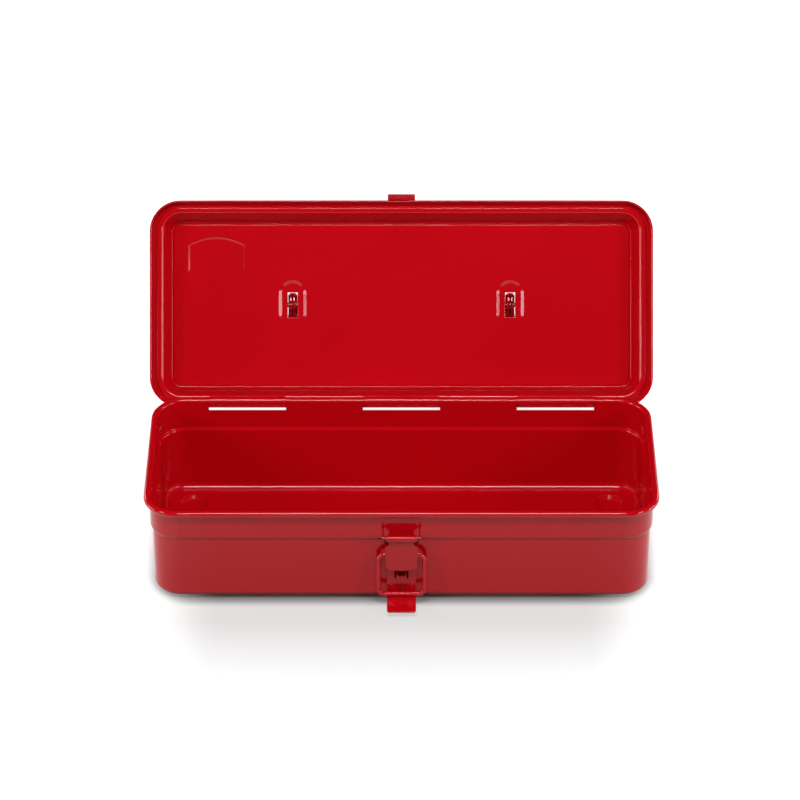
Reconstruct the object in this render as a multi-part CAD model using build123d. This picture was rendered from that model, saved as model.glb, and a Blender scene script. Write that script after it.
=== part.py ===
from build123d import *
from math import asin, atan2, cos, degrees, hypot, radians, sin, tan
import os

# A small pressed-steel tool box, standing open: a tub, a hinged lid that is swung back,
# a carrying handle on the lid and an over-centre latch on the front of the tub.
# X runs along the box, Y from front to back, Z up. The origin is on the floor, below the tub's centre.

# Lid
lid_width = 333.0
lid_depth = 137.0
lid_corner = 20.5
lid_sheet = 0.7
lid_rise = 16.6
ledge_inset = 4.4
ledge_step = 0.5
ledge_round = 2.0
ledge_drop = 0.9
lid_wall_inset = 7.9
lid_wall_lean = 5.0
lid_top_round = 1.2
panel_border = 1.3
panel_sink = 0.8
hem_height = 2.2
skirt_depth = 4.6
lid_open_angle = 124.0

# Tub
rim_gap = 2.1
rim_height = 72.0
rim_corner = 22.5
body_sheet = 0.8
bead = 4.5
bead_turn_angle = 297.0
collar_height = 21.65
collar_step = 1.4
step_run = 1.8
step_round = 1.5
floor_round = 5.0
foot_height = 2.0
foot_pad = 15.0
foot_mouth = 20.0
foot_spread_x = 277.0
foot_spread_y = 83.0

# Hinge: tongues of the lid pass through slots in the tub and curl round the rim bead
hinge_places = (-101.9, 0.0, 101.9)
slot_width = 51.0
slot_drop = 6.2
slot_breadth = 8.0
tongue_side_gap = 0.45
hinge_gap = 0.1
tongue_blend_angle = 60.0
rear_skirt_lift = 1.35
rear_trim_reach = 4.0
lid_seat_gap = 0.4

# Bosses, lugs and pins that carry the handle
handle_span = 145.0
boss_length = 33.0
boss_width = 18.6
boss_edge = 2.0
boss_rise = 0.9
window_length = 16.4
window_width = 6.5
window_round = 0.6
lug_length = 15.2
lug_radius = 2.9
handle_pin_lift = 3.0
handle_pin = 3.0
pin_gap = 0.06
lug_gap = 0.05
pin_head = 4.6
pin_head_thick = 0.8

# Handle: a channel pressed from sheet, with a narrow ear at each end
handle_sheet = 0.9
handle_reach = 41.0
grip_width = 12.0
arm_width = 9.0
grip_depth = 4.4
grip_corner = 6.0
ear_width = 3.0
ear_wall = 0.9
ear_heel = 7.4
ear_depth = 8.0
ear_length = 7.0
ear_back = 6.1
ear_shoulder_up = 5.5
ear_shoulder_down = 4.5
ear_tip = 2.0
ear_back_tip = 2.9
ear_back_heel = 7.9
ear_crown = 2.4
shoulder_length = 12.0
hub_width = 4.7
hub_diameter = 5.3
handle_corner = 12.0

# Label frame pressed in the lid
label_x = -123.1
label_y = -31.2
label_width = 38.0
label_side = 17.0
label_height = 27.8
label_sink = 0.5
label_edge = 1.1

# Latch: distances are out from the tub's lower front wall, and heights above the floor
lever_sheet = 1.0
lever_pin_out = 8.0
lever_pin_height = 54.5
lever_pin = 2.4
roll_width = 19.1
neck_width = 16.0
neck_length = 5.6
shoulder_drop = 3.8
plate_low_height = 29.4
plate_top_width = 22.0
plate_low_width = 20.1
plate_flat = 12.3
plate_side_drop = 1.1
plate_out = 7.4
flange_inner_out = 2.7
tail_out = 4.2
tail_top_height = 27.8
tail_width = 18.6
tail_bend_height = 7.9
tail_bend_radius = 4.5
tab_out = 19.5
tab_height = 5.0
tab_corner = 2.5
tail_slot_width = 9.0
tail_slot_low = 20.5
tail_slot_high = 27.3
tail_rib_spread = 12.8
tail_rib_length = 6.0
tail_rib_height = 13.9
rib_width = 2.0
rib_rise = 0.6
tail_hole = 2.0
tail_hole_height = 13.5
lever_open_angle = 165.0

base_sheet = 0.8
base_low_height = 18.0
base_top_height = 47.9
base_width = 17.6
base_ear_low = 46.2
base_ear_out = 2.2
base_ear_turn = 50.3
latch_ear_gap = 0.2
latch_ear_thick = 0.8
latch_ear_radius = 2.8
latch_pin_head = 3.8
latch_pin_head_thick = 0.7
staple_width = 6.8
staple_out = 10.0
staple_low_height = 21.9
staple_high_height = 26.2

wire = 2.8
wire_gap = 0.06
hook_height = 68.54
lip_gap = 0.2
loop_pivot_out = 4.3
loop_pivot_height = 39.6
loop_width = 32.2
loop_shoulder_width = 24.4
loop_shoulder = 3.4
loop_end_inside = 17.2
bar_rest_out = 7.0
bar_rest_height = 10.22

# Catch on the lid's front edge
catch_width = 18.0
catch_sheet = 1.0
catch_reach = 4.0
catch_leg = 4.6
catch_lip_angle = 5.0
hook_gap = 0.4
catch_rib_spread = 10.2
catch_rib_length = 2.4
catch_rib_width = 1.8
catch_rib_rise = 0.45

# Worked out from the sizes above
plate_top_height = lever_pin_height - neck_length
rim_width = lid_width - 2 * rim_gap
rim_depth = lid_depth - 2 * rim_gap
bead_out = bead - body_sheet
collar_width = rim_width - 2 * bead_out
collar_depth = rim_depth - 2 * bead_out
tub_width = collar_width - 2 * collar_step
tub_depth = collar_depth - 2 * collar_step
tub_corner = rim_corner - bead_out - collar_step
hinge_y = rim_depth / 2 - bead / 2
hinge_z = rim_height - bead / 2
ledge_z = rim_height + lid_seat_gap + lid_sheet / 2
channel_z = ledge_z + ledge_drop
panel_inset = lid_wall_inset + lid_sheet / 2 + lid_wall_lean + panel_border
border_z = rim_height + lid_seat_gap + lid_rise - lid_sheet / 2
panel_z = border_z - panel_sink
skirt_z = rim_height - skirt_depth
panel_face = panel_z + lid_sheet / 2
boss_face = panel_face + boss_rise
handle_pin_z = boss_face + handle_pin_lift
front_y = -tub_depth / 2
hinge_axis = Axis((0, hinge_y, hinge_z), (1, 0, 0))


def rounded_plate(width, depth, corner, low, thickness):
    """A flat sheet with round corners, its underside at height low."""
    return Pos(0, 0, low) * extrude(RectangleRounded(width, depth, corner), thickness)


def band(width, depth, corner, section):
    """Carry a section round a rounded rectangle. The section's x is outward from it and its y is up."""
    pieces = []
    for side in range(4):
        half_out = (width if side % 2 == 0 else depth) / 2
        half_run = (depth if side % 2 == 0 else width) / 2 - corner
        start = Plane(origin=(half_out, half_run, 0), x_dir=(1, 0, 0), z_dir=(0, -1, 0))
        corner_axis = Axis((half_out - corner, half_run, 0), (0, 0, 1))
        straight = extrude(start * section, 2 * half_run)
        turned = revolve(start * section, corner_axis, 90)
        pieces += [Rot(0, 0, 90 * side) * straight, Rot(0, 0, 90 * side) * turned]
    return pieces[0].fuse(*pieces[1:])


def sheet_section(path, thickness):
    """The section of a sheet whose middle follows a path of lines and arcs, with rounded edges."""
    return Face(Wire(path).offset_2d(thickness / 2, side=Side.BOTH))


def swing(shape, angle):
    """Turn a piece of the closed lid about the hinge, opening it by an angle."""
    return shape.rotate(hinge_axis, -angle)


def latch_plane(x=0.0):
    """A plane across the latch: its x is out from the tub's front and its y is up."""
    return Plane(origin=(x, front_y, 0), x_dir=(0, -1, 0), z_dir=(-1, 0, 0))


def across(section, width, x=0.0):
    """A latch section carried along X, width long in all and centred at x."""
    return extrude(latch_plane(x) * section, width / 2, both=True)


def rod(out, height, diameter, length, x=0.0):
    """A round bar along X at a place in front of the tub."""
    return Pos(x, front_y - out, height) * Rot(0, 90, 0) * Cylinder(diameter / 2, length)


def foot_places():
    """The centres of the four pressed feet."""
    return GridLocations(foot_spread_x, foot_spread_y, 2, 2)


def foot_form(lift, mouth, pad, soft_low, soft_high):
    """A round dish below the floor: its outside, or with a lift its inside."""
    outline = FilletPolyline(
        (0, lift),
        (pad / 2, lift),
        (mouth / 2, foot_height + lift),
        (mouth / 2 + soft_high * 2, foot_height + lift),
        radius=[soft_low, soft_high],
    )
    edge = outline @ 1
    closing = Polyline(edge, edge + Vector(0, body_sheet / 2), (0, foot_height + lift + body_sheet / 2), (0, lift))
    return revolve(Plane.XZ * make_face(outline.edges() + closing.edges()), Axis.Z, 360)


def body_shell():
    """The tub: floor, walls, step, rolled rim, pressed feet and hinge slots."""
    floor_z = foot_height + body_sheet / 2
    step_z = rim_height - collar_height
    bead_radius = (bead - body_sheet) / 2
    wall = -body_sheet / 2
    collar = wall + collar_step
    path = FilletPolyline(
        (-2 * floor_round, floor_z),
        (wall, floor_z),
        (wall, step_z - step_run),
        (collar, step_z),
        (collar, hinge_z),
        radius=[floor_round - body_sheet / 2, step_round, step_round],
    )
    curl = CenterArc((collar + bead_radius, hinge_z), bead_radius, 180, -bead_turn_angle)
    section = sheet_section(path.edges() + curl.edges(), body_sheet)
    walls = band(tub_width, tub_depth, tub_corner, section)
    inset = 2 * (floor_round + 1)
    floor = rounded_plate(
        tub_width - inset, tub_depth - inset, tub_corner - inset / 2, foot_height, body_sheet
    )
    shell = walls.fuse(floor)
    slope = hypot((foot_mouth - foot_pad) / 2, foot_height) / foot_height
    shrink = 2 * (body_sheet * slope - body_sheet * (foot_mouth - foot_pad) / 2 / foot_height)
    outside = foot_form(0, foot_mouth, foot_pad, 1.0, 1.8)
    inside = foot_form(body_sheet, foot_mouth - shrink, foot_pad - shrink, 1.8, 1.0)
    shell = shell.fuse(*[place * outside for place in foot_places()])
    shell = shell.cut(*[place * inside for place in foot_places()])
    pin = Pos(0, hinge_y, hinge_z) * Rot(0, 90, 0) * Cylinder(bead / 2, rim_width)
    for x in hinge_places:
        slot = Pos(x, hinge_y, hinge_z - slot_drop / 2) * Box(slot_width, slot_breadth, slot_drop)
        shell = shell.cut(slot.cut(pin))
    return shell


def tongue_section():
    """A tongue in the hinge's Y-Z plane: down from the skirt, then round under the bead."""
    radius = bead / 2 + hinge_gap + lid_sheet / 2
    skirt = lid_depth / 2 - lid_sheet / 2 - hinge_y
    turn = radians(tongue_blend_angle)
    blend = (skirt - radius * cos(turn)) / (1 - cos(turn))
    centre = (-(blend - radius) * cos(turn), (blend - radius) * sin(turn))
    lead = Line((skirt, centre[1] + lid_sheet), (skirt, centre[1]))
    outer = CenterArc(centre, blend, 0, -tongue_blend_angle)
    curl = CenterArc((0, 0), radius, -tongue_blend_angle, tongue_blend_angle - 180)
    return sheet_section([lead.edge(), outer.edge(), curl.edge()], lid_sheet)


def tapered_slot(length, width, slope, low, high):
    """A block whose plan is a slot along Y, smaller at the top by a slope on every side."""
    base = Pos(0, 0, low) * Rot(0, 0, 90) * SlotOverall(length, width)
    top = Pos(0, 0, high) * Rot(0, 0, 90) * SlotOverall(length - 2 * slope, width - 2 * slope)
    return loft([base.face(), top.face()], ruled=True)


def tapered_barrel(shrink, low, high):
    """A block with two straight sides and two bulging ones, smaller at the top."""
    faces = []
    for height, less in ((low, shrink), (high, shrink + label_edge)):
        x, y, peak = label_width / 2 - less, label_side / 2 - less / 2, label_height / 2 - less
        outline = [
            Line((x, -y), (x, y)),
            ThreePointArc((x, y), (0, peak), (-x, y)),
            Line((-x, y), (-x, -y)),
            ThreePointArc((-x, -y), (0, -peak), (x, -y)),
        ]
        faces.append(Pos(label_x, label_y, height) * make_face([line.edge() for line in outline]).face())
    return loft(faces, ruled=True)


def inside_inset(slope, rise):
    """How far a sheet's inner face stands in from its outer one, beside a slope."""
    return lid_sheet * tan(atan2(rise, slope) / 2)


def lug(side):
    """An ear bent up from one side of a window, with the pin's hole."""
    outline = make_face(
        Polyline(
            (-lug_length / 2, boss_face - lid_sheet / 2),
            (lug_length / 2, boss_face - lid_sheet / 2),
            (lug_radius, handle_pin_z),
            (-lug_radius, handle_pin_z),
            close=True,
        )
    )
    outline += Pos(0, handle_pin_z) * Circle(lug_radius)
    outline -= Pos(0, handle_pin_z) * Circle(handle_pin / 2 + lug_gap)
    start = side * (window_width / 2 if side > 0 else window_width / 2 + lid_sheet)
    return extrude(Plane(origin=(start, 0, 0), x_dir=(0, 1, 0), z_dir=(1, 0, 0)) * outline, lid_sheet)


def on_window_rim(edge):
    """Whether an edge lies round a window, on the lid's inner face."""
    middle = edge @ 0.5
    across_window = abs(abs(middle.X) - handle_span / 2) < window_width / 2 + 0.01
    along_window = abs(middle.Y) < window_length / 2 + 0.01
    return across_window and along_window and abs(middle.Z - boss_face + lid_sheet) < 0.01


def lid_shell():
    """The lid, closed: hemmed skirt, ledge over the rim, walls, sunk panel, bosses and tongues."""
    middle = -lid_sheet / 2
    wall = -lid_wall_inset - lid_sheet / 2
    path = FilletPolyline(
        (middle, skirt_z + lid_sheet),
        (middle, channel_z),
        (-ledge_inset, channel_z),
        (-ledge_inset - ledge_step, ledge_z),
        (wall, ledge_z),
        (wall - lid_wall_lean, border_z),
        (-panel_inset, border_z),
        (-panel_inset - panel_sink, panel_z),
        (-panel_inset - panel_sink - 2.5, panel_z),
        radius=[0.9, 0.5, 0.5, ledge_round, lid_top_round, 0.5, 0.5],
    )
    walls = band(lid_width, lid_depth, lid_corner, sheet_section(path.edges(), lid_sheet))
    hem_line = Line((-lid_sheet, skirt_z + lid_sheet), (-lid_sheet, skirt_z + hem_height - lid_sheet))
    hem = band(lid_width, lid_depth, lid_corner, sheet_section([hem_line.edge()], 2 * lid_sheet))
    inset = 2 * (panel_inset + panel_sink + 1.5)
    panel = rounded_plate(
        lid_width - inset, lid_depth - inset, lid_corner - inset / 2, panel_z - lid_sheet / 2, lid_sheet
    )
    shell = walls.fuse(hem, panel)
    trim = Box(2 * lid_width, lid_depth, lid_depth, align=(Align.CENTER, Align.MIN, Align.MAX))
    shell = shell.cut(Pos(0, hinge_y - rear_trim_reach, hinge_z + rear_skirt_lift) * trim)
    tongue = tongue_section()
    for x in hinge_places:
        plane = Plane(origin=(x, hinge_y, hinge_z), x_dir=(0, 1, 0), z_dir=(1, 0, 0))
        shell = shell.fuse(extrude(plane * tongue, slot_width / 2 - tongue_side_gap, both=True))
    inner = 2 * inside_inset(boss_edge, boss_rise)
    outside = tapered_slot(boss_length, boss_width, boss_edge, panel_face - lid_sheet / 2, boss_face)
    inside = tapered_slot(
        boss_length - inner, boss_width - inner, boss_edge, panel_face - lid_sheet, boss_face - lid_sheet
    )
    window = Pos(0, 0, boss_face) * Box(window_width, window_length, 4 * lid_sheet)
    for x in (-handle_span / 2, handle_span / 2):
        place = Pos(x, 0, 0)
        shell = shell.fuse(place * outside).cut(place * inside).cut(place * window)
        shell = shell.fuse(place * lug(-1), place * lug(1))
    shell = fillet(shell.edges().filter_by(on_window_rim), window_round)
    label_inner = inside_inset(label_edge, label_sink)
    shell = shell.fuse(tapered_barrel(0, panel_face - lid_sheet / 2, panel_face + label_sink))
    shell = shell.cut(tapered_barrel(label_inner, panel_face - lid_sheet, panel_face - lid_sheet + label_sink))
    return swing(shell, lid_open_angle)


def handle_pin_point():
    """Where the handle's pivot stands with the lid open: distance back and height."""
    turn = radians(-lid_open_angle)
    back, up = -hinge_y, handle_pin_z - hinge_z
    return (hinge_y + back * cos(turn) - up * sin(turn), hinge_z + back * sin(turn) + up * cos(turn))


def handle_rivet(side):
    """A headed pin through both lugs and the handle's ear."""
    length = window_width + 2 * lid_sheet
    shank = Cylinder(handle_pin / 2, length)
    head = Cylinder(pin_head / 2, pin_head_thick)
    head = fillet(head.edges().group_by(Axis.Z)[-1], pin_head_thick / 2)
    top = Pos(0, 0, (length + pin_head_thick) / 2) * head
    pin = shank.fuse(top, Rot(180, 0, 0) * top)
    back, height = handle_pin_point()
    return Pos(side * handle_span / 2, back, height) * Rot(0, 90, 0) * pin


def handle_outline():
    """The arms and grip seen square on; x along the box, y up from the pivots."""
    out = handle_span / 2
    ear, arm = ear_back / 2, arm_width / 2
    high, low = grip_width - handle_reach, -handle_reach
    outside = [(out - ear, -ear_length), (out + ear, -ear_length), (out + arm, -shoulder_length), (out + arm, low)]
    mirrored = [(-x, y) for x, y in reversed(outside)]
    inside = [(arm - out, -shoulder_length), (arm - out, high), (out - arm, high), (out - arm, -shoulder_length)]
    soft = [0.3, 0.3, 1.5, handle_corner, handle_corner, 1.5, 0.3, 0.3, 1.5, grip_corner, grip_corner, 1.5]
    return make_face(FilletPolyline(*outside, *mirrored, *inside, radius=soft, close=True))


def handle_ear():
    """One ear from the side, carried along X: a fold of sheet round the hub, open toward the lid."""
    half, slim = ear_depth / 2, grip_depth / 2
    low = -ear_length - handle_sheet
    right = [(slim, low), (slim, -ear_length), (half, -ear_shoulder_down), (half, ear_shoulder_up), (ear_tip, ear_heel)]
    left = [(-x, y) for x, y in reversed(right[:-1])]
    face = make_face(Polyline(*right, (-ear_back_tip, ear_back_heel), *left, close=True))
    face = fillet([v for v in face.vertices() if v.Y > -ear_shoulder_down - 0.1], ear_wall)
    side = Plane(origin=(0, 0, 0), x_dir=(0, 0, 1), z_dir=(-1, 0, 0))
    block = extrude(side * face, ear_back / 2, both=True)
    inside = extrude(side * offset(face, -ear_wall, kind=Kind.INTERSECTION), ear_back, both=True)
    open_side = Box(2 * ear_back, 6 * ear_length, ear_depth, align=(Align.CENTER, Align.CENTER, Align.MIN))
    middle = extrude(side * face, ear_width / 2, both=True)
    slit = Box(ear_width - 2 * ear_wall, 6 * ear_length, ear_depth, align=(Align.CENTER, Align.CENTER, Align.MIN))
    back = block.cut(inside, Pos(0, 0, ear_wall - half / 2) * open_side)
    folds = middle.cut(Pos(0, 0, ear_wall - half) * slit)
    hub = Rot(0, 90, 0) * Cylinder(hub_diameter / 2, hub_width)
    top, wide = ear_back_heel + ear_wall, ear_back / 2 + ear_wall
    slope = (wide - ear_crown / 2) * (top - ear_shoulder_up) / (ear_back / 2 - ear_crown / 2)
    trims = []
    for x in (-1, 1):
        corner = Polyline((x * wide, top), (x * ear_crown / 2, top), (x * wide, top - slope), close=True)
        trims.append(extrude(make_face(corner), ear_depth, both=True))
    return back.fuse(folds, hub).cut(*trims)


def handle():
    """The carrying handle, hanging from its pivots."""
    half = grip_depth / 2
    outer = extrude(handle_outline(), half, both=True)
    back = outer.faces().sort_by(Axis.Z)[0]
    rim = [edge for edge in back.edges() if (edge @ 0.5).Y < -ear_length - 0.01]
    outer = fillet(rim, handle_sheet)
    core = offset(handle_outline(), -handle_sheet, kind=Kind.INTERSECTION)
    core = Pos(0, 0, handle_sheet - half) * extrude(core, grip_depth)
    bail = outer.cut(core)
    out, head, low = handle_span / 2, ear_length + 3.0, ear_length - 1.0
    for x in (-out, out):
        slit = Box(ear_width - 2 * ear_wall, head - low, ear_depth, align=(Align.CENTER, Align.MAX, Align.MIN))
        bail = bail.cut(Pos(x, -low, handle_sheet - half) * slit)
    bail = bail.fuse(*[Pos(x, 0, 0) * handle_ear() for x in (-out, out)])
    bore = Rot(0, 90, 0) * Cylinder(handle_pin / 2 + pin_gap, 2 * hub_width)
    bail = bail.cut(*[Pos(x, 0, 0) * bore for x in (-out, out)])
    distance, height = handle_pin_point()
    return Plane(origin=(0, distance, height), x_dir=(1, 0, 0), z_dir=(0, -1, 0)) * bail


def lid_front_out():
    """How far the closed lid's front face stands out from the tub's lower wall."""
    return (lid_depth - tub_depth) / 2


def hook_out():
    """How far out the loop's bar stands when it is hooked on the closed lid."""
    return lid_front_out() + catch_sheet + hook_gap + wire / 2


def loop_length():
    """From the loop's pivot to its bar, which is what the hook asks for."""
    return hypot(hook_out() - loop_pivot_out, hook_height - loop_pivot_height)


def lid_catch():
    """The hook that the wire loop pulls on, wrapped over the lid's front edge."""
    plate = lid_front_out() + catch_sheet / 2
    edge = lid_front_out() + catch_reach - catch_sheet / 2
    rise = tan(radians(catch_lip_angle))
    under_bar = hook_height - wire / 2 - lip_gap - catch_sheet / 2
    low = under_bar - (hook_out() - plate) * rise
    top = channel_z + lid_sheet / 2 + catch_sheet / 2
    path = FilletPolyline(
        (plate - catch_leg, top), (plate, top), (plate, low), (edge, low + (edge - plate) * rise), radius=0.8
    )
    hook = across(sheet_section(path.edges(), catch_sheet), catch_width)
    start = plate + catch_sheet / 2
    for side in (-1, 1):
        rib = Rot(0, 0, 90) * SlotOverall(catch_rib_length, catch_rib_width)
        pad = extrude(rib, catch_rib_rise + catch_sheet / 2)
        place = Pos(side * catch_rib_spread / 2, front_y - start - catch_rib_length / 2, 0)
        hook = hook.fuse(place * Pos(0, 0, low - catch_sheet / 2 - catch_rib_rise) * pad)
    return swing(hook, lid_open_angle)


def lever_plate():
    """The lever's upper plate: a channel with a flat middle, sloped shoulders and two flanges."""
    ends = []
    for height, width in ((plate_top_height, plate_top_width), (plate_low_height, plate_low_width)):
        edge = width / 2 - lever_sheet / 2
        path = FilletPolyline(
            (-edge, flange_inner_out),
            (-edge, plate_out - plate_side_drop),
            (-plate_flat / 2, plate_out),
            (plate_flat / 2, plate_out),
            (edge, plate_out - plate_side_drop),
            (edge, flange_inner_out),
            radius=0.9,
        )
        plane = Plane(origin=(0, front_y, height), x_dir=(-1, 0, 0), z_dir=(0, 0, 1))
        ends.append((plane * sheet_section(path.edges(), lever_sheet)).face())
    return loft(ends, ruled=True)


def front_block(width, low, high):
    """A block in front of the tub, centred on the latch, between two heights."""
    depth = 2 * tab_out
    return Pos(0, front_y, low) * Box(width, depth, high - low, align=(Align.CENTER, Align.MAX, Align.MIN))


def lever_shoulder(hand):
    """What is trimmed off a top corner of the plate, sloping from the neck to the full width."""
    inner, outer, top = neck_width / 2, plate_top_width / 2 + lever_sheet, plate_top_height
    corner = make_face(Polyline((inner, top), (outer, top), (outer, top - shoulder_drop), close=True))
    plane = Plane(origin=(0, front_y, 0), x_dir=(hand, 0, 0), z_dir=(0, -hand, 0))
    return extrude(plane * corner, 2 * tab_out, both=True)


def latch_lever():
    """The lever: a rolled eye, a folded plate, and a tail that ends in the finger tab."""
    roll = lever_pin / 2 + pin_gap + lever_sheet / 2
    turn = radians(45)
    leaving = (lever_pin_out + roll * cos(turn), lever_pin_height - roll * sin(turn))
    elbow = (plate_out, lever_pin_height - 3.09)
    eye = CenterArc((lever_pin_out, lever_pin_height), roll, 215, -260)
    path = FilletPolyline(
        leaving,
        elbow,
        (plate_out, plate_low_height + 0.5),
        (tail_out, tail_top_height),
        (tail_out, tail_bend_height),
        (tab_out, tab_height),
        radius=[1.0, 1.2, 1.2, tail_bend_radius],
    )
    strip = across(sheet_section(eye.edges() + path.edges(), lever_sheet), roll_width)
    neck_top = lever_pin_height - roll - lever_sheet / 2
    plan = Pos(0, front_y - tab_out - lever_sheet / 2) * RectangleRounded(
        tail_width, 3 * tab_out, tab_corner, align=(Align.CENTER, Align.MIN)
    )
    spans = [
        front_block(roll_width, neck_top, lid_depth),
        front_block(neck_width, plate_top_height - 0.5, neck_top),
        front_block(plate_flat, plate_low_height, plate_top_height),
        extrude(plan, plate_low_height),
    ]
    lever = lever_plate()
    for span in spans:
        lever = lever.fuse(*strip.intersect(span).solids())
    lever = lever.cut(*[lever_shoulder(hand) for hand in (-1, 1)])
    slot = front_block(tail_slot_width, tail_slot_low, tail_slot_high)
    hole = Pos(0, front_y - tail_out, tail_hole_height) * Rot(90, 0, 0) * Cylinder(tail_hole / 2, 4 * lever_sheet)
    lever = lever.cut(slot, hole, rod(loop_pivot_out, loop_pivot_height, wire + 2 * wire_gap, 2 * loop_width))
    for hand in (-1, 1):
        place = Plane(
            origin=(hand * tail_rib_spread / 2, front_y - tail_out, tail_rib_height),
            x_dir=(1, 0, 0),
            z_dir=(0, -1, 0),
        )
        pad = extrude(place * (Rot(0, 0, 90) * SlotOverall(tail_rib_length, rib_width)), lever_sheet / 2 + rib_rise)
        lever = lever.fuse(fillet(pad.faces().sort_by(Axis.Y)[0].edges(), rib_rise / 2))
    return lever


def latch_ear(hand):
    """One side ear of the latch base, with the lever pin's hole."""
    outline = make_face(
        Polyline(
            (0, base_ear_low),
            (base_ear_out, base_ear_low),
            (base_ear_out, base_ear_turn),
            (lever_pin_out + 1.4, lever_pin_height - 2.42),
            (lever_pin_out, lever_pin_height),
            (lever_pin_out - 1.4, lever_pin_height + 2.42),
            (collar_step + 0.35, base_ear_turn + 1.2),
            (collar_step + 0.35, base_ear_turn + 0.1),
            (0, base_top_height),
            close=True,
        )
    )
    outline += Pos(lever_pin_out, lever_pin_height) * Circle(latch_ear_radius)
    outline -= Pos(lever_pin_out, lever_pin_height) * Circle(lever_pin / 2 + lug_gap)
    middle = (plate_top_width + latch_ear_thick) / 2 + latch_ear_gap
    return across(outline, latch_ear_thick, hand * middle)


def latch_base():
    """The plate welded to the tub, with the lever's ears and the padlock staple."""
    full = plate_top_width + 2 * (latch_ear_gap + latch_ear_thick)
    outline = [(base_width / 2, base_low_height), (base_width / 2, base_ear_low), (full / 2, base_ear_low)]
    outline.append((full / 2, base_top_height))
    mirrored = [(-x, z) for x, z in reversed(outline)]
    shape = make_face(Polyline(*outline, *mirrored, close=True))
    shape = fillet([v for v in shape.vertices() if v.Y < base_low_height + 0.01], 2.0)
    plate = extrude(Plane(origin=(0, front_y, 0), x_dir=(1, 0, 0), z_dir=(0, -1, 0)) * shape, base_sheet)
    edge = (staple_width - lever_sheet) / 2
    path = FilletPolyline(
        (-edge, base_sheet),
        (-edge, staple_out - lever_sheet / 2),
        (edge, staple_out - lever_sheet / 2),
        (edge, base_sheet),
        radius=1.2,
    )
    plane = Plane(origin=(0, front_y, staple_low_height), x_dir=(-1, 0, 0), z_dir=(0, 0, 1))
    staple = extrude(plane * sheet_section(path.edges(), lever_sheet), staple_high_height - staple_low_height)
    return plate.fuse(latch_ear(-1), latch_ear(1), staple)


def lever_rivet():
    """The pin across the latch base's ears that the lever turns on."""
    width = plate_top_width + 2 * (latch_ear_gap + latch_ear_thick)
    pin = rod(lever_pin_out, lever_pin_height, lever_pin, width)
    for hand in (-1, 1):
        head = Cylinder(latch_pin_head / 2, latch_pin_head_thick)
        head = fillet(head.edges().group_by(Axis.Z)[-1], latch_pin_head_thick / 2)
        place = Pos(hand * (width + latch_pin_head_thick) / 2, front_y - lever_pin_out, lever_pin_height)
        pin = pin.fuse(place * Rot(0, hand * 90, 0) * head)
    return pin


def latch_loop():
    """The wire loop, folded down so that its bar lies in the bend of the lever's tail."""
    lean = asin((bar_rest_out - loop_pivot_out) / loop_length())
    half, shoulder = (loop_width - wire) / 2, loop_shoulder_width / 2
    right = [(half, loop_length()), (half, loop_shoulder), (shoulder, 0), (loop_end_inside / 2, 0)]
    left = [(-x, y) for x, y in reversed(right)]
    path = FilletPolyline(*left, *right, radius=[1.6, 3.0, 4.0, 4.0, 3.0, 1.6])
    down = Plane(
        origin=(0, front_y - loop_pivot_out, loop_pivot_height),
        x_dir=(1, 0, 0),
        z_dir=(0, cos(lean), -sin(lean)),
    )
    section = Plane(origin=path @ 0, z_dir=path % 0) * Circle(wire / 2)
    return down * sweep(section, path=path)


os.makedirs("parts", exist_ok=True)
export_step(body_shell(), "parts/body_shell.step")
export_step(latch_base(), "parts/latch_base.step")
export_step(lever_rivet(), "parts/lever_pin.step")
export_step(latch_lever(), "parts/latch_lever.step")
export_step(latch_loop(), "parts/latch_loop.step")
export_step(lid_shell(), "parts/lid_shell.step")
export_step(lid_catch(), "parts/lid_catch.step")
export_step(handle(), "parts/handle.step")
export_step(handle_rivet(-1), "parts/handle_pin_left.step")
export_step(handle_rivet(1), "parts/handle_pin_right.step")
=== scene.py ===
import bpy
import numpy as np
from mathutils import Matrix

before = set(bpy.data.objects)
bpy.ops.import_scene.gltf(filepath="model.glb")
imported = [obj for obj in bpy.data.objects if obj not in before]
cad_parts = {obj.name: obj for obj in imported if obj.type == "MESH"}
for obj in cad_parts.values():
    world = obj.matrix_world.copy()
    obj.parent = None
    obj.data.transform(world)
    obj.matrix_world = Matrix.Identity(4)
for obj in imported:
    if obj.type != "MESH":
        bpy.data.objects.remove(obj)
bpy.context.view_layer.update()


# The camera. The photograph looks straight at the latch side from 34 degrees above the horizon,
# through a long lens, so the lid, swung back by 124 degrees, is seen square on. The middle of the
# picture is 0.66 mm above hinge_point, which is on the hinge's axis and 0.93 mm left of its middle.
elevation = np.radians(34.0)
look = np.array([0.0, np.cos(elevation), -np.sin(elevation)])
camera_up = np.array([0.0, np.sin(elevation), np.cos(elevation)])
side = np.cross(look, camera_up)
hinge_point = np.array([-0.00093, 0.06415, 0.06975])
camera_rise = 0.00066
camera_distance = 2.405
camera_place = hinge_point + camera_rise * camera_up - camera_distance * look
focal_pixels = 3635.0
frame_pixels = 800.0
sensor_mm = 36.0
camera = bpy.data.objects.new("camera", bpy.data.cameras.new("camera"))
camera.data.sensor_width = sensor_mm
camera.data.lens = focal_pixels * sensor_mm / frame_pixels
camera.data.clip_end = 30.0
camera.matrix_world = Matrix([
    [side[0], camera_up[0], -look[0], camera_place[0]],
    [side[1], camera_up[1], -look[1], camera_place[1]],
    [side[2], camera_up[2], -look[2], camera_place[2]],
    [0.0, 0.0, 0.0, 1.0],
])
bpy.context.collection.objects.link(camera)
bpy.context.scene.camera = camera
bpy.context.scene.view_settings.view_transform = "Standard"


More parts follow.
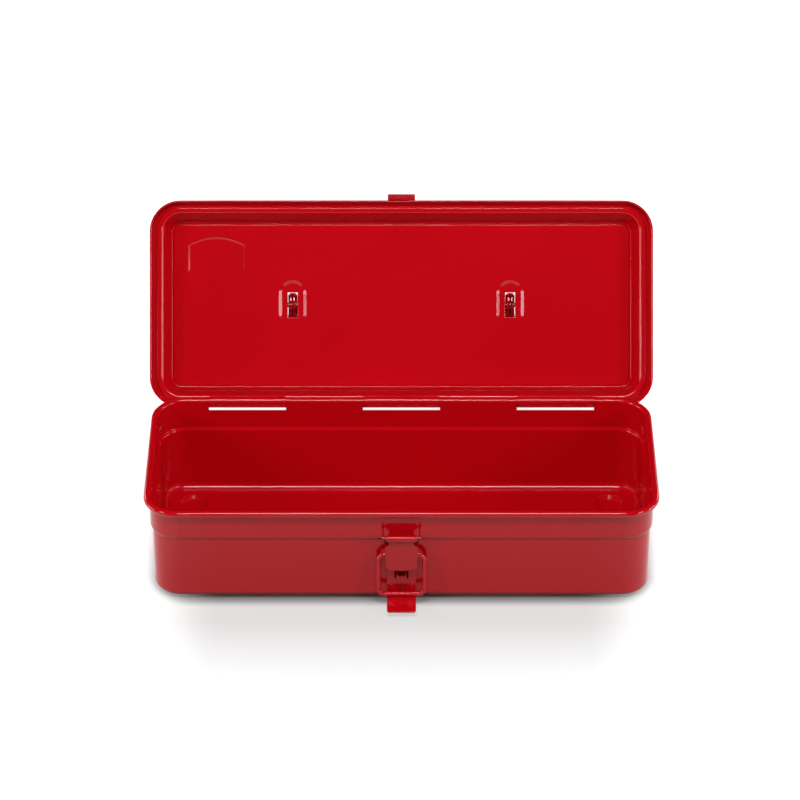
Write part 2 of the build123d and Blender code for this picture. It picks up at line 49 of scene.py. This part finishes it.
# The lamps of a product studio: the main soft box in front and above, a strip at each side whose
# reflections draw the bosses and the ledges, and weaker pairs at the ends and behind the box.
# Each is set by its radiance, because that is what the enamel's gloss shows.
def soft_box(name, place, aim, width, height, radiance):
    """A rectangular lamp whose face has the given radiance: power is radiance times pi times area."""
    lamp = bpy.data.objects.new(name, bpy.data.lights.new(name, "AREA"))
    lamp.data.shape = "RECTANGLE"
    lamp.data.size = width
    lamp.data.size_y = height
    lamp.data.energy = radiance * np.pi * width * height
    away = np.array(place) - np.array(aim)
    away = away / np.linalg.norm(away)
    across = np.cross([0.0, 0.0, 1.0], away)
    across = across / np.linalg.norm(across)
    upward = np.cross(away, across)
    lamp.matrix_world = Matrix([
        [across[0], upward[0], away[0], place[0]],
        [across[1], upward[1], away[1], place[1]],
        [across[2], upward[2], away[2], place[2]],
        [0.0, 0.0, 0.0, 1.0],
    ])
    lamp.visible_camera = False
    bpy.context.collection.objects.link(lamp)


box_middle = (0.0, 0.0, 0.1)
tub_middle = (0.0, 0.0, 0.05)
soft_box("front_top_box", (0.0, -0.74, 1.45), box_middle, width=0.62, height=0.28, radiance=25.0)
for hand, side_name in ((-1.0, "left"), (1.0, "right")):
    strip_place = (hand * 1.02, -0.72, 0.6)
    end_place = (hand * 1.5, -0.05, 0.3)
    back_place = (hand * 1.3, 1.2, 0.6)
    soft_box(side_name + "_box", strip_place, box_middle, width=0.32, height=0.36, radiance=11.5)
    soft_box(side_name + "_end_box", end_place, tub_middle, width=0.6, height=0.4, radiance=9.0)
    soft_box("back_" + side_name + "_box", back_place, box_middle, width=0.6, height=0.5, radiance=6.0)


def add_node(tree, kind, settings=None, links=None):
    """Add one node. Settings go to its sockets, or to its properties where no socket has that name.
    Links map a socket of the new node to the output that feeds it."""
    node = tree.nodes.new(kind)
    for key, value in (settings or {}).items():
        if key in node.inputs.keys() or isinstance(key, int):
            node.inputs[key].default_value = value
        else:
            setattr(node, key, value)
    for key, source in (links or {}).items():
        tree.links.new(source, node.inputs[key])
    return node


def linear(code):
    """An sRGB hex colour as linear RGBA: each channel to the power 2.4 above the short straight foot."""
    parts = np.array([int(code[at:at + 2], 16) for at in (1, 3, 5)]) / 255.0
    curved = np.where(parts <= 0.04045, parts / 12.92, ((parts + 0.055) / 1.055) ** 2.4)
    return (*curved.tolist(), 1.0)


# The room: a grey that fills the shadows. The gloss sees it darker, as the unlit studio is, and
# the camera sees it white.
room_fill = (0.08, 0.08, 0.08, 1.0)
room_in_gloss = (0.05, 0.05, 0.05, 1.0)
white = (1.0, 1.0, 1.0, 1.0)
world = bpy.data.worlds.new("studio")
world.use_nodes = True
world.node_tree.nodes.clear()
rays = add_node(world.node_tree, "ShaderNodeLightPath")
seen_in_gloss = add_node(
    world.node_tree, "ShaderNodeMixRGB", {"Color1": room_fill, "Color2": room_in_gloss},
    {"Fac": rays.outputs["Is Glossy Ray"]},
)
seen_by_camera = add_node(
    world.node_tree, "ShaderNodeMixRGB", {"Color2": white},
    {"Fac": rays.outputs["Is Camera Ray"], "Color1": seen_in_gloss.outputs["Color"]},
)
room = add_node(
    world.node_tree, "ShaderNodeBackground", {"Strength": 1.0}, {"Color": seen_by_camera.outputs["Color"]}
)
add_node(world.node_tree, "ShaderNodeOutputWorld", {}, {"Surface": room.outputs["Background"]})
bpy.context.scene.world = world


# The table: a sheet of white card that runs on behind the box and takes its shadow. What sees it
# sees it lit up to white, and round the tub's foot that glow fades, which paints a contact shadow on
# the card on top of the real one; the third fade paints the card lighter towards the box's ends.
# card_core is the straight part of the foot's outline. The near and far fades run outwards from it,
# and the third along the box.
table_half = 6.0
card_core = (0.133, 0.035, 0.0)
near_painted_shadow_fade = {"From Min": 0.024, "From Max": 0.035, "To Max": 0.5}
far_painted_shadow_fade = {"From Min": 0.05, "From Max": 0.145, "To Max": 0.42}
ends_painted_light_fade = {"From Min": 0.115, "From Max": 0.175, "To Max": 0.4}
corners = np.array([[-1, -1, 0], [1, -1, 0], [1, 1, 0], [-1, 1, 0]]) * table_half
table_mesh = bpy.data.meshes.new("white_card")
table_mesh.from_pydata(corners.tolist(), [], [(0, 1, 2, 3)])
table = bpy.data.objects.new("white_card", table_mesh)
bpy.context.collection.objects.link(table)
card = bpy.data.materials.new("matt_white_card")
card.use_nodes = True
card_tree = card.node_tree
card_tree.nodes.clear()
card_face = add_node(card_tree, "ShaderNodeBsdfDiffuse", {"Color": linear("#909090")})
card_rays = add_node(card_tree, "ShaderNodeLightPath")
card_place = add_node(card_tree, "ShaderNodeTexCoord")
card_across = add_node(
    card_tree, "ShaderNodeVectorMath", {"operation": "ABSOLUTE"}, {0: card_place.outputs["Object"]}
)
card_from_core = add_node(
    card_tree, "ShaderNodeVectorMath", {"operation": "SUBTRACT", 1: card_core},
    {0: card_across.outputs["Vector"]},
)
card_out = add_node(
    card_tree, "ShaderNodeVectorMath", {"operation": "MAXIMUM", 1: (0.0, 0.0, 0.0)},
    {0: card_from_core.outputs["Vector"]},
)
card_way = add_node(
    card_tree, "ShaderNodeVectorMath", {"operation": "LENGTH"}, {0: card_out.outputs["Vector"]}
)
# The glow is held down near the foot and raised towards the box's ends: painted contact shadow and
# painted light.
card_near_painted_shadow = add_node(
    card_tree, "ShaderNodeMapRange", {"interpolation_type": "SMOOTHSTEP", **near_painted_shadow_fade},
    {"Value": card_way.outputs["Value"]},
)
card_far_painted_shadow = add_node(card_tree, "ShaderNodeMapRange", far_painted_shadow_fade, {"Value": card_way.outputs["Value"]})
card_along = add_node(card_tree, "ShaderNodeSeparateXYZ", {}, {"Vector": card_across.outputs["Vector"]})
card_ends_painted_light = add_node(
    card_tree, "ShaderNodeMapRange", {"interpolation_type": "SMOOTHSTEP", **ends_painted_light_fade},
    {"Value": card_along.outputs["X"]},
)
card_middle = add_node(
    card_tree, "ShaderNodeMath", {"operation": "ADD"},
    {0: card_near_painted_shadow.outputs["Result"], 1: card_far_painted_shadow.outputs["Result"]},
)
card_level = add_node(
    card_tree, "ShaderNodeMath", {"operation": "ADD"},
    {0: card_middle.outputs["Value"], 1: card_ends_painted_light.outputs["Result"]},
)
card_mirrored = add_node(
    card_tree, "ShaderNodeMath", {"operation": "MAXIMUM"},
    {0: card_rays.outputs["Is Glossy Ray"], 1: card_rays.outputs["Is Transmission Ray"]},
)
card_seen = add_node(
    card_tree, "ShaderNodeMath", {"operation": "MAXIMUM"},
    {0: card_rays.outputs["Is Camera Ray"], 1: card_mirrored.outputs["Value"]},
)
card_glow = add_node(
    card_tree, "ShaderNodeMath", {"operation": "MULTIPLY"},
    {0: card_seen.outputs["Value"], 1: card_level.outputs["Value"]},
)
card_lift = add_node(
    card_tree, "ShaderNodeEmission", {"Color": white}, {"Strength": card_glow.outputs["Value"]}
)
card_sum = add_node(
    card_tree, "ShaderNodeAddShader", {},
    {0: card_face.outputs["BSDF"], 1: card_lift.outputs["Emission"]},
)
add_node(card_tree, "ShaderNodeOutputMaterial", {}, {"Surface": card_sum.outputs["Shader"]})
table_mesh.materials.append(card)


# The tub is deep-drawn steel sheet, sprayed and baked in red gloss enamel, with a rolled rim.
# The coat's depth drifts over about 55 mm, a hand's sweep of the spray gun, and its haze over 17 mm.
# On smooth drawn sheet it flows out well, to a fine, shallow peel and a sharp gloss.
flow_mm = 55.0
haze_mm = 17.0
enamel_ior = 1.38
clearest, haziest = 0.8, 1.25


def baked_enamel(name, colour, deep_colour, peel_mm, peel_rise_mm, roughness):
    """Sprayed and baked gloss enamel, from three noises: the slow flow mixes the colour of a thin
    coat with that of a deep one, the peel raises the skin, and the haze changes the roughness."""
    paint = bpy.data.materials.new(name)
    paint.use_nodes = True
    tree = paint.node_tree
    tree.nodes.clear()
    place = add_node(tree, "ShaderNodeTexCoord").outputs["Object"]
    flow = add_node(
        tree, "ShaderNodeTexNoise", {"Scale": 1000.0 / flow_mm, "Detail": 3.0, "Roughness": 0.5},
        {"Vector": place},
    )
    coat = add_node(
        tree, "ShaderNodeMixRGB", {"Color1": linear(deep_colour), "Color2": linear(colour)},
        {"Fac": flow.outputs["Fac"]},
    )
    peel = add_node(
        tree, "ShaderNodeTexNoise", {"Scale": 1000.0 / peel_mm, "Detail": 2.0, "Roughness": 0.45},
        {"Vector": place},
    )
    haze = add_node(
        tree, "ShaderNodeTexNoise", {"Scale": 1000.0 / haze_mm, "Detail": 4.0, "Roughness": 0.6},
        {"Vector": place},
    )
    gloss = add_node(
        tree, "ShaderNodeMapRange", {"To Min": roughness * clearest, "To Max": roughness * haziest},
        {"Value": haze.outputs["Fac"]},
    )
    skin = add_node(
        tree, "ShaderNodeBump", {"Strength": 1.0, "Distance": peel_rise_mm / 1000.0},
        {"Height": peel.outputs["Fac"]},
    )
    surface = add_node(
        tree, "ShaderNodeBsdfPrincipled", {"IOR": enamel_ior, "Metallic": 0.0},
        {
            "Base Color": coat.outputs["Color"],
            "Roughness": gloss.outputs["Result"],
            "Normal": skin.outputs["Normal"],
        },
    )
    add_node(tree, "ShaderNodeOutputMaterial", {}, {"Surface": surface.outputs["BSDF"]})
    return paint


def paint_node(node, paint):
    """Give a carried-over CAD node its finish on every material slot."""
    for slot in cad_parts[node].material_slots:
        slot.material = paint


drawn_sheet_enamel = baked_enamel(
    "baked_enamel_on_drawn_sheet", "#c40412", deep_colour="#bc0310",
    peel_mm=2.2, peel_rise_mm=0.012, roughness=0.095,
)
paint_node("body_shell", drawn_sheet_enamel)


# The lid is pressed from the same sheet, with a hem folded in round its edge, a ledge that takes
# the tub's rim, a sunk panel that stiffens it and two bosses that carry the handle.
# Its coat is a little thicker than the tub's, and its peel wider.
lid_sheet_enamel = baked_enamel(
    "baked_enamel_on_lid_sheet", "#c60513", deep_colour="#bd0311",
    peel_mm=2.6, peel_rise_mm=0.013, roughness=0.09,
)
paint_node("lid_shell", lid_sheet_enamel)


# The catch is a strip of steel wrapped over the lid's front edge and spot-welded there before
# painting. The coat is thin over its cut edges, which makes it a shade deeper.
catch_strip_enamel = baked_enamel(
    "baked_enamel_on_catch_strip", "#bb0411", deep_colour="#ae030f",
    peel_mm=1.5, peel_rise_mm=0.01, roughness=0.1,
)
paint_node("lid_catch", catch_strip_enamel)


# The latch base is a small plate with two ears, blanked and folded from thicker strip and welded
# to the tub's front wall. The lever's pin is riveted across its ears and painted with it. Their red
# is set darker than the rest of the box as painted shade, for the shade that falls behind the lever.
latch_base_enamel_with_painted_shade = baked_enamel(
    "baked_enamel_with_painted_shade_on_latch_base", "#a6030f", deep_colour="#98020c",
    peel_mm=1.6, peel_rise_mm=0.012, roughness=0.1,
)
paint_node("latch_base", latch_base_enamel_with_painted_shade)
paint_node("lever_pin", latch_base_enamel_with_painted_shade)


# The lever is folded from springy strip: eye, neck, plate with two flanges, and a finger tab.
# It is sprayed by itself, wet, so its skin is the glossiest on the box.
lever_enamel = baked_enamel(
    "baked_enamel_on_lever", "#c20413", deep_colour="#b20310",
    peel_mm=1.8, peel_rise_mm=0.012, roughness=0.08,
)
paint_node("latch_lever", lever_enamel)


# The loop is bent from round steel wire and dipped, so the enamel is thick and nearly free of peel.
wire_enamel = baked_enamel(
    "baked_enamel_on_wire", "#c60716", deep_colour="#b80412",
    peel_mm=1.4, peel_rise_mm=0.006, roughness=0.08,
)
paint_node("latch_loop", wire_enamel)


# The handle is a bail pressed as a channel, hung from a headed steel rivet at each end that passes
# through the boss's lugs. The rivets are set before painting, so the same coat covers them.
handle_enamel = baked_enamel(
    "baked_enamel_on_handle", "#bf0412", deep_colour="#b00310",
    peel_mm=2.0, peel_rise_mm=0.012, roughness=0.1,
)
for hung_part in ("handle", "handle_pin_left", "handle_pin_right"):
    paint_node(hung_part, handle_enamel)
